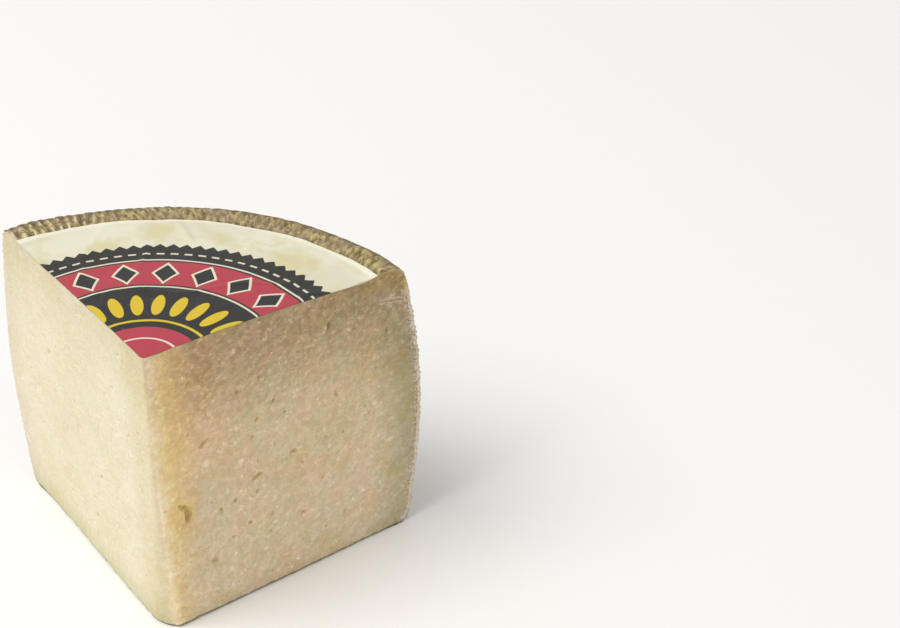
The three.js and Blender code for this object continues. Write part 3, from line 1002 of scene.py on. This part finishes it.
cloudy = blotch(place, 22.0, 3.0, 0.35, 0.65)
curd = blotch(grain, 4.0, 3.0, 0.38, 0.66)
grit = blotch(place, 1.8, 2.0, 0.38, 0.62)
fine = blotch(grain, 0.8, 2.0, 0.3, 0.7)
crowded = blotch(place, 16.0, 2.0, 0.4, 0.6)
flecks = fleck(bent, 1.9, 0.45, 0.75) * (crowded * 0.5 + 0.5)
flecks = flecks.math("MAXIMUM", fleck(bent, 1.2, 0.4, 0.75) * 0.8)
threads = thread(bent, 3.2, 0.085, 0.45) * (crowded * 0.6 + 0.35)
dashes = fleck(grain, 1.1, 0.3, 0.95)

# %% Paste: colour
colour = blend(cloudy * 0.6, screen(242, 232, 207), screen(235, 224, 188))
colour = colour.tinted(curd * (shade * 0.3 + 0.5), 0.94, 0.925, 0.88)
colour = colour.tinted(grit * (shade * 0.1 + 0.4), 0.92, 0.91, 0.87)
from_edge = along + uneven * 0.3
# Painted shade: the right cut, which lies in shade, a tone deeper and browner away from the front edge
colour = colour.tinted(shade * from_edge.ramp(0, 9), 0.915, 0.80, 0.68)
for size, share, tint in (
    (9.5, shade * 0.5 + 0.4, (0.95, 1.0, 0.98)),
    (12.0, shade * 0.6 + 0.4, (1.04, 0.97, 1.0)),
    (14.5, shade * 0.7 + 0.3, (0.98, 0.95, 0.84)),
):
    colour = colour.tinted(blotch(place, size, 2.0, 0.5, 0.7) * share, *tint)

# The front edge: pale on the very edge and golden behind it, both painted light, the glow of light shining
# through the edge
front = side.ramp(-0.3, 0.7)
colour = colour.tinted(from_edge.fall(0, 12) * side.ramp(0.2, 1.0), 1.24, 1.12, 1.03)
edge_glow = (along + uneven * 0.5).ramp(1.5, 6.0) * (along + uneven * 0.5).fall(7, 19) * front
colour = colour.tinted(edge_glow * height.ramp(12, 48, 0.35, 1.0), 1.10, 1.05, 0.80)
near_nose = along.fall(0, 20).math("MINIMUM", 0.6) * side.fall(-0.9, 0.7)
colour = colour.tinted(near_nose, 0.90, 0.86, 0.72)
colour = colour.tinted((side - 0.15).math("ABSOLUTE").fall(0, 0.85), 0.98, 0.94, 0.87)

# The left cut, deeper towards its borders
colour = colour.tinted((to_top + uneven).fall(0, 28) * lit, 0.89, 0.875, 0.80)
colour = colour.tinted((to_rind + uneven).fall(0, 14) * lit, 0.93, 0.92, 0.92)
colour = colour.tinted((to_base + uneven * 0.6).fall(2, 18) * lit, 0.90, 0.91, 0.86)

# The right cut: browner towards the rind; painted shade towards the label, and painted light low down as if
# from the floor
# Painted shade: the right cut darker and browner towards the label
top_shade = (to_top + uneven).fall(0, 46) * shade * along.ramp(3, 22, 0.35, 1)
colour = colour.tinted(top_shade, 0.68, 0.62, 0.55)
coarse = top_shade * 0.65 + shade * 0.35  # the curd shows more towards the top
colour = colour.tinted(blotch(grain, 2.0, 2.0, 0.4, 0.6) * coarse, 0.80, 0.79, 0.74)
colour = colour.tinted(blotch(bent, 1.7, 1.0, 0.56, 0.68) * coarse, 1.30, 1.35, 1.42)
warm = along.ramp(6, 14) * along.fall(20, 36) * height.ramp(52, 70) * shade
colour = colour.tinted(warm, 1.10, 1.01, 0.98)
below_top = to_top.ramp(8, 40, 0.3, 1.0)
beside_rind = (to_rind + uneven).fall(0, 21) * height.ramp(10, 34, 0.75, 1)
colour = colour.tinted(beside_rind * shade * below_top, 0.62, 0.67, 0.60)
high_up = (to_rind + uneven).fall(4, 34) * height.ramp(45, 85)
colour = colour.tinted(high_up * shade * below_top, 0.86, 0.85, 0.86)
# Painted light: the right cut paler and bluer low down, as if lit from the floor
colour = colour.tinted(height.fall(8, 62) * shade, 1.05, 1.08, 1.20)
colour = colour.tinted((to_base + uneven * 0.6).fall(0, 10) * (shade * -0.5 + 1.0), 0.86, 0.87, 0.78)

# Curd flecks, veins and dark dashes
colour = colour.tinted(flecks * (shade * 0.75 + 0.25) * (edge_glow * -0.6 + 1.0), 1.31, 1.37, 1.50)
colour = colour.tinted(threads * (shade * 0.7 + 0.3), 1.12, 1.18, 1.26)
colour = colour.tinted(dashes * (shade * 0.1 + 0.75), 0.82, 0.80, 0.73)

# The dry rim beside the rind, its pale skin partly painted highlight, the crack under the label with painted
# shade in it, the crust at the foot and the eyes
ragged = clouds(place, 0.7, 4.0) * 3.6 - 1.8
side_only = height.fall(97, 104)
crumbly = blotch(place, 0.75, 2.0, 0.42, 0.58)
dry = (to_rind + ragged * 1.6).fall(1.2, 4.2) * side_only
colour = colour.tinted(dry * crumbly.fall(0, 1) * shade, 0.80, 0.78, 0.76)
colour = colour.covered(dry * crumbly * (grit * 0.3 + 0.5) * (shade * 0.9 + 0.1), 228, 212, 196)
# The pale skin along the rind: partly the rind's pale edge, partly painted highlight where the rim catches
# the light from above
skin_and_highlight = (to_rind + ragged * 0.9).fall(0.5, 1.8) * side_only
colour = colour.covered(skin_and_highlight * (crumbly * 0.35 + 0.65) * (shade * 0.75 + 0.1), 238, 224, 208)
corner = (to_rind + uneven).fall(3, 9) * (height + uneven * 0.5).ramp(96, 101) * shade
colour = colour.tinted(corner, 1.0, 0.95, 0.72)
crack = (height + along * 0.22 + ragged * 0.5 - 116.9).math("ABSOLUTE")
torn = along.ramp(86, 91) * along.fall(97, 100) * side.ramp(0.5, 1)
colour = colour.covered(crack.fall(0.5, 1.6) * torn * 0.6, 226, 204, 178)
# Painted shade: the dark line inside the crack
colour = colour.tinted(crack.fall(0.15, 0.55) * torn, 0.62, 0.55, 0.48)
crust = (to_base + ragged * 0.5).fall(0.5, 1.3)
colour = colour.covered(crust * 0.85, 122, 112, 88)
colour = colour.tinted(hollow.ramp(0.02, 0.22) * hollow.fall(0.22, 0.42), 1.12, 1.12, 1.16)
colour = colour.tinted(hollow.ramp(0.2, 0.8), 0.93, 0.88, 0.66)
feed(shader.inputs["Base Color"], colour)
feed(shader.inputs["Roughness"], fine * 0.14 + 0.42)
relief = fine * 0.3 - grit * 0.6 + curd * 0.5 + flecks * 0.5 + threads * 0.9 - dashes * 0.6
bumped(tree, shader, relief, 0.8, 0.00025)
print("paste nodes:", len(tree.nodes))

# %% [markdown]
# ## The rind
# Round the label the ribs are olive-brown, with brown troughs and patches where they have worn away.
# Their crests are painted cream, most of all towards the left cut, as painted highlight; the troughs
# between them are darkened as painted shade, and so is a band along the paper's rim. The side is
# olive-brown, mottled by mould and smeared where the strands are worn, with golden patches and a few
# spots of gold. From half height down a grey-white bloom lies on it as a haze and as streaks along the
# strands. Along the strands run the fine lines of the grass. Colour follows the strands through the
# attribute that the mesh carries.

# %% Rind: masks
rind_finish, tree, shader = new_material(
    "pressed_rind",
    subsurface_weight=0.08,
    subsurface_radius=(1.0, 0.6, 0.3),
    subsurface_scale=0.002,
)
place = millimetres(tree)
across, run, crest_ = attribute(tree, "strand").parts()
around, height, _ = attribute(tree, "place").parts()
lines = clouds(add(tree, "CombineXYZ", across * 2.6, run * 0.3, 0.0), 1.0, 2.0, 0.6)
rough = clouds(place, 0.55, 4.0, 0.65)
patches = blotch(place, 15.0, 3.0, 0.42, 0.62)
bald = blotch(place, 11.0, 3.0, 0.45, 0.6)
slanted = add(tree, "CombineXYZ", across - run * 0.5, run * 0.5, 0.0)
mottle = blotch(slanted, 1.9, 3.0, 0.38, 0.62)
along_ribs = add(tree, "CombineXYZ", across, run * 1.3, 5.0)
broken = blotch(along_ribs, 4.5, 1.0, 0.38, 0.5)
crumbs = fleck(place, 1.1, 0.5, 0.7)
ring = height.ramp(101, 105)
mould = blotch(place, 1.1, 4.0, 0.36, 0.66)
smeared = blotch(place, 17.0, 3.0, 0.42, 0.62)  # where the strands are worn and dirty
streak = add(tree, "CombineXYZ", across * 0.8, run * 0.22, 9.0)
streaks = blotch(streak, 1.5, 2.0, 0.44, 0.6)
spots = fleck(place, 5.2, 0.06, 0.6)
ridge = crest_ + (lines - 0.5) * 1.1 + (rough - 0.5) * 0.9
ridge = ridge + (mould - 0.5) * (ring.fall(0, 1) * (smeared * 1.2 + 0.6))
ribs = (around + (rough - 0.5) * 30).ramp(203, 224)

# %% Rind: colour
colour = blend(ridge.ramp(-1.4, 0.5), screen(104, 88, 56), screen(164, 145, 106))
colour = colour.covered(smeared * 0.55, 150, 132, 94)
colour = colour.tinted(mould * (smeared * 0.5 + 0.3), 0.66, 0.64, 0.56)
gold = blend(patches, screen(176, 150, 104), screen(204, 178, 118))
colour = blend(ridge.ramp(0.0, 1.1) * (patches * 0.4 + 0.3), colour, gold)
olive = blend(mottle, screen(122, 105, 62), screen(206, 188, 132))
olive = olive.covered(bald * 0.5, 176, 152, 124)
# Painted shade in the troughs between the ribs, most towards the left cut
olive = olive.tinted(ridge.fall(-1.1, -0.2) * (ribs * 0.5 + 0.3), 0.52, 0.46, 0.38)
olive = olive.covered(run.ramp(7.6, 11.5) * 0.6, 112, 98, 72)
colour = blend(ring, colour, olive)
# Painted highlight: cream on the rib crests, most towards the left cut, broken up and kept to the inner part
# of the ring
rib_highlight = ridge.ramp(0.0, 0.9) * (ribs * 0.95 + 0.05) * broken * run.fall(6.5, 9.5)
colour = colour.covered(ring * rib_highlight, 238, 224, 184)
chips = fleck(place, 1.3, 0.3, 0.8)
colour = colour.covered(ring * chips * 0.7, 224, 208, 180)
uneven_height = (clouds(place, 0.045, 3.0) - 0.5) * 110
bloom_level = (height + uneven_height).fall(30, 68)
haze = bloom_level * (ridge.ramp(-1.1, 0.4) * 0.4 + 0.5)
colour = colour.covered(haze * 0.85, 222, 212, 194)
streak_level = bloom_level.math("MAXIMUM", (height + uneven_height).fall(58, 84) * 0.6)
blown_off = blotch(place, 13.0, 3.0, 0.42, 0.58)
bloom = streak_level * streaks * ridge.ramp(-0.5, 0.5) * blown_off
colour = colour.covered(bloom * 0.95, 230, 224, 216)
colour = colour.covered(spots * ridge.ramp(-0.8, 0.6, 0.4, 0.9), 198, 164, 84)
colour = colour.covered(crumbs * 0.35, 214, 205, 180)
# Painted shade: a dark band along the paper's rim, deepest in the troughs
rim_shade = (run + rough * 1.5).fall(1.6, 3.8) * ridge.ramp(-0.6, 0.7, 1, 0.2)
colour = colour.covered(rim_shade * ring * 0.8, 86, 78, 48)
feed(shader.inputs["Base Color"], colour)
feed(shader.inputs["Roughness"], haze * 0.25 + (lines * 0.2 + 0.42))
bumped(tree, shader, lines * 0.8 + crumbs * 0.3 + rough * 1.2 + mottle * ring, 0.8, 0.0004)
cheese.data.materials.append(paste)
cheese.data.materials.append(rind_finish)
print("rind nodes:", len(tree.nodes))

# %% [markdown]
# ## The printed paper
# Cream paper with ochre stains, printed with a plain round pattern: a black field with a toothed
# edge, a crimson band with lozenges, thin cream lines, and a wreath of gold grains round a crimson
# middle. All of it is worked out from the radius and the angle round the drum's axis, so the knife
# cuts through it as it would through any print.

# %% Paper
SHARP = 0.1  # mm over which an ink edge goes from nothing to full
PRINT_SIZE = 1.14  # the print is laid out for a label this much smaller
PRINT_RADIUS, TOOTH_DEPTH = 59.4, 2.0
paper_finish, tree, shader = new_material(
    "printed_paper",
    subsurface_weight=0.1,
    subsurface_radius=(1.0, 0.9, 0.7),
    subsurface_scale=0.001,
)
place = millimetres(tree)
x, y, _ = place.parts()
x, y = x - float(DRUM_AXIS[0]), y - float(DRUM_AXIS[1])
whole_radius = (x * x + y * y).math("SQRT")
radius = whole_radius / PRINT_SIZE
angle = y.math("ARCTAN2", x)


def within(value, low, high):
    """1 between two values, 0 outside, with an edge SHARP wide."""
    return value.ramp(low - SHARP, low + SHARP) * value.fall(high - SHARP, high + SHARP)


def repeat(count):
    """Place within one of count equal steps round the axis, -0.5 to 0.5."""
    return (angle * (count / (2 * math.pi))).math("FRACT") - 0.5


tooth = repeat(96).math("ABSOLUTE") * 2
field = (radius - tooth * TOOTH_DEPTH).fall(PRINT_RADIUS - SHARP, PRINT_RADIUS + SHARP)
band = within(radius, 38, 51)
lines_ = within(radius, 36.6, 37.3).math("MAXIMUM", within(radius, 51.7, 52.4))
lozenge = (repeat(24) * 11.65).math("ABSOLUTE") / 3.4 + (radius - 44.5).math("ABSOLUTE") / 5.0
dashes = within(radius, 55.2, 56.0) * repeat(84).math("ABSOLUTE").fall(0.26, 0.3)
grain_u, grain_v = (repeat(28) * 0.2244 * radius) / 1.9, (radius - 27) / 5.4
gold = (grain_u * grain_u + grain_v * grain_v).fall(0.92, 1.0)
gold = gold.math("MAXIMUM", within(radius, 18.4, 19.4))
middle = radius.fall(15.6 - SHARP, 15.6 + SHARP)

ink = amount(tree, "ink")
stains = blotch(place, 13.0, 4.0, 0.45, 0.72)
rings = blotch(place, 21.0, 2.0, 0.46, 0.6)
spots = fleck(place, 1.3, 0.3, 0.8)
scuffs = blotch(place, 1.6, 4.0, 0.62, 0.72)
paper = blend(rings * 0.7, screen(236, 233, 210), screen(226, 220, 196))
paper = paper.covered(stains * 0.75, 218, 208, 156)
# Painted highlight: a paler band just inside the paper's rim
paper = paper.covered(whole_radius.ramp(84.6, 86.4), 246, 242, 220)
paper = paper.covered(spots * 0.3, 214, 196, 146)
black = blend(scuffs * 0.45, screen(44, 44, 42), screen(104, 103, 98))
crimson = blend(scuffs * 0.3, screen(188, 64, 78), screen(214, 122, 128))
print_ = blend(band, black, crimson)
print_ = print_.covered(lozenge.fall(1.18, 1.24) * band, 236, 230, 206)
print_ = blend(lozenge.fall(0.92, 0.98) * band, print_, black)
print_ = print_.covered(lines_.math("MAXIMUM", dashes), 232, 226, 202)
print_ = print_.covered(gold, 226, 196, 44)
print_ = blend(middle, print_, crimson)
print_ = print_.covered(within(radius, 9.6, 10.3), 236, 230, 206)
covered = field * ink.ramp(0.1, 0.4)
colour = blend(covered, paper, print_)
# The bare cut edges and the underside darkened brown: partly grease soaked into the paper, partly painted
# shadow under the label's edge
colour = colour.tinted(ink.fall(0.3, 0.95), 0.55, 0.48, 0.36)
feed(shader.inputs["Base Color"], colour)
feed(shader.inputs["Roughness"], covered * -0.22 + (stains * 0.1 + 0.55))
bumped(tree, shader, clouds(place, 0.5, 4.0), 0.5, 0.00015)
label.data.materials.append(paper_finish)
print("paper nodes:", len(tree.nodes))

# %% [markdown]
# ## Studio
# A pale floor and one large soft key light from the left, which reaches the left cut face and the
# top. An even, almost white world fills the rest, so that the right cut face lies in soft shade as
# in the photograph.

# %% Floor and lights
floor_mesh = bpy.data.meshes.new("floor")
floor_mesh.from_pydata([(-6, -4, 0), (6, -4, 0), (6, 10, 0), (-6, 10, 0)], [], [(0, 1, 2, 3)])
floor = bpy.data.objects.new("floor", floor_mesh)
bpy.context.scene.collection.objects.link(floor)
floor_finish, tree, shader = new_material("floor_white", base_color=(1.0, 1.0, 1.0, 1.0), roughness=0.8)
floor.data.materials.append(floor_finish)


def area_light(name, place, aim, size, power, colour):
    """Adds a square soft box at a place, turned towards a point, both in metres."""
    light = bpy.data.lights.new(name, "AREA")
    light.size, light.energy, light.color = size, power, colour
    lamp = bpy.data.objects.new(name, light)
    lamp.location = place
    x, y, z = np.subtract(aim, place)
    lamp.rotation_euler = (math.atan2(math.hypot(x, y), -z), 0, math.atan2(x, -y) + math.pi)
    bpy.context.scene.collection.objects.link(lamp)


area_light("key", (-1.28, -0.78, 2.6), (0, 0, 0.05), 2.0, 56, (1.0, 0.98, 0.95))
world = bpy.data.worlds.new("studio")
bpy.context.scene.world = world
world.use_nodes = True
world.node_tree.nodes["Background"].inputs["Color"].default_value = (1.0, 0.99, 0.97, 1)
world.node_tree.nodes["Background"].inputs["Strength"].default_value = 0.52
bpy.context.scene.view_settings.view_transform = "Standard"
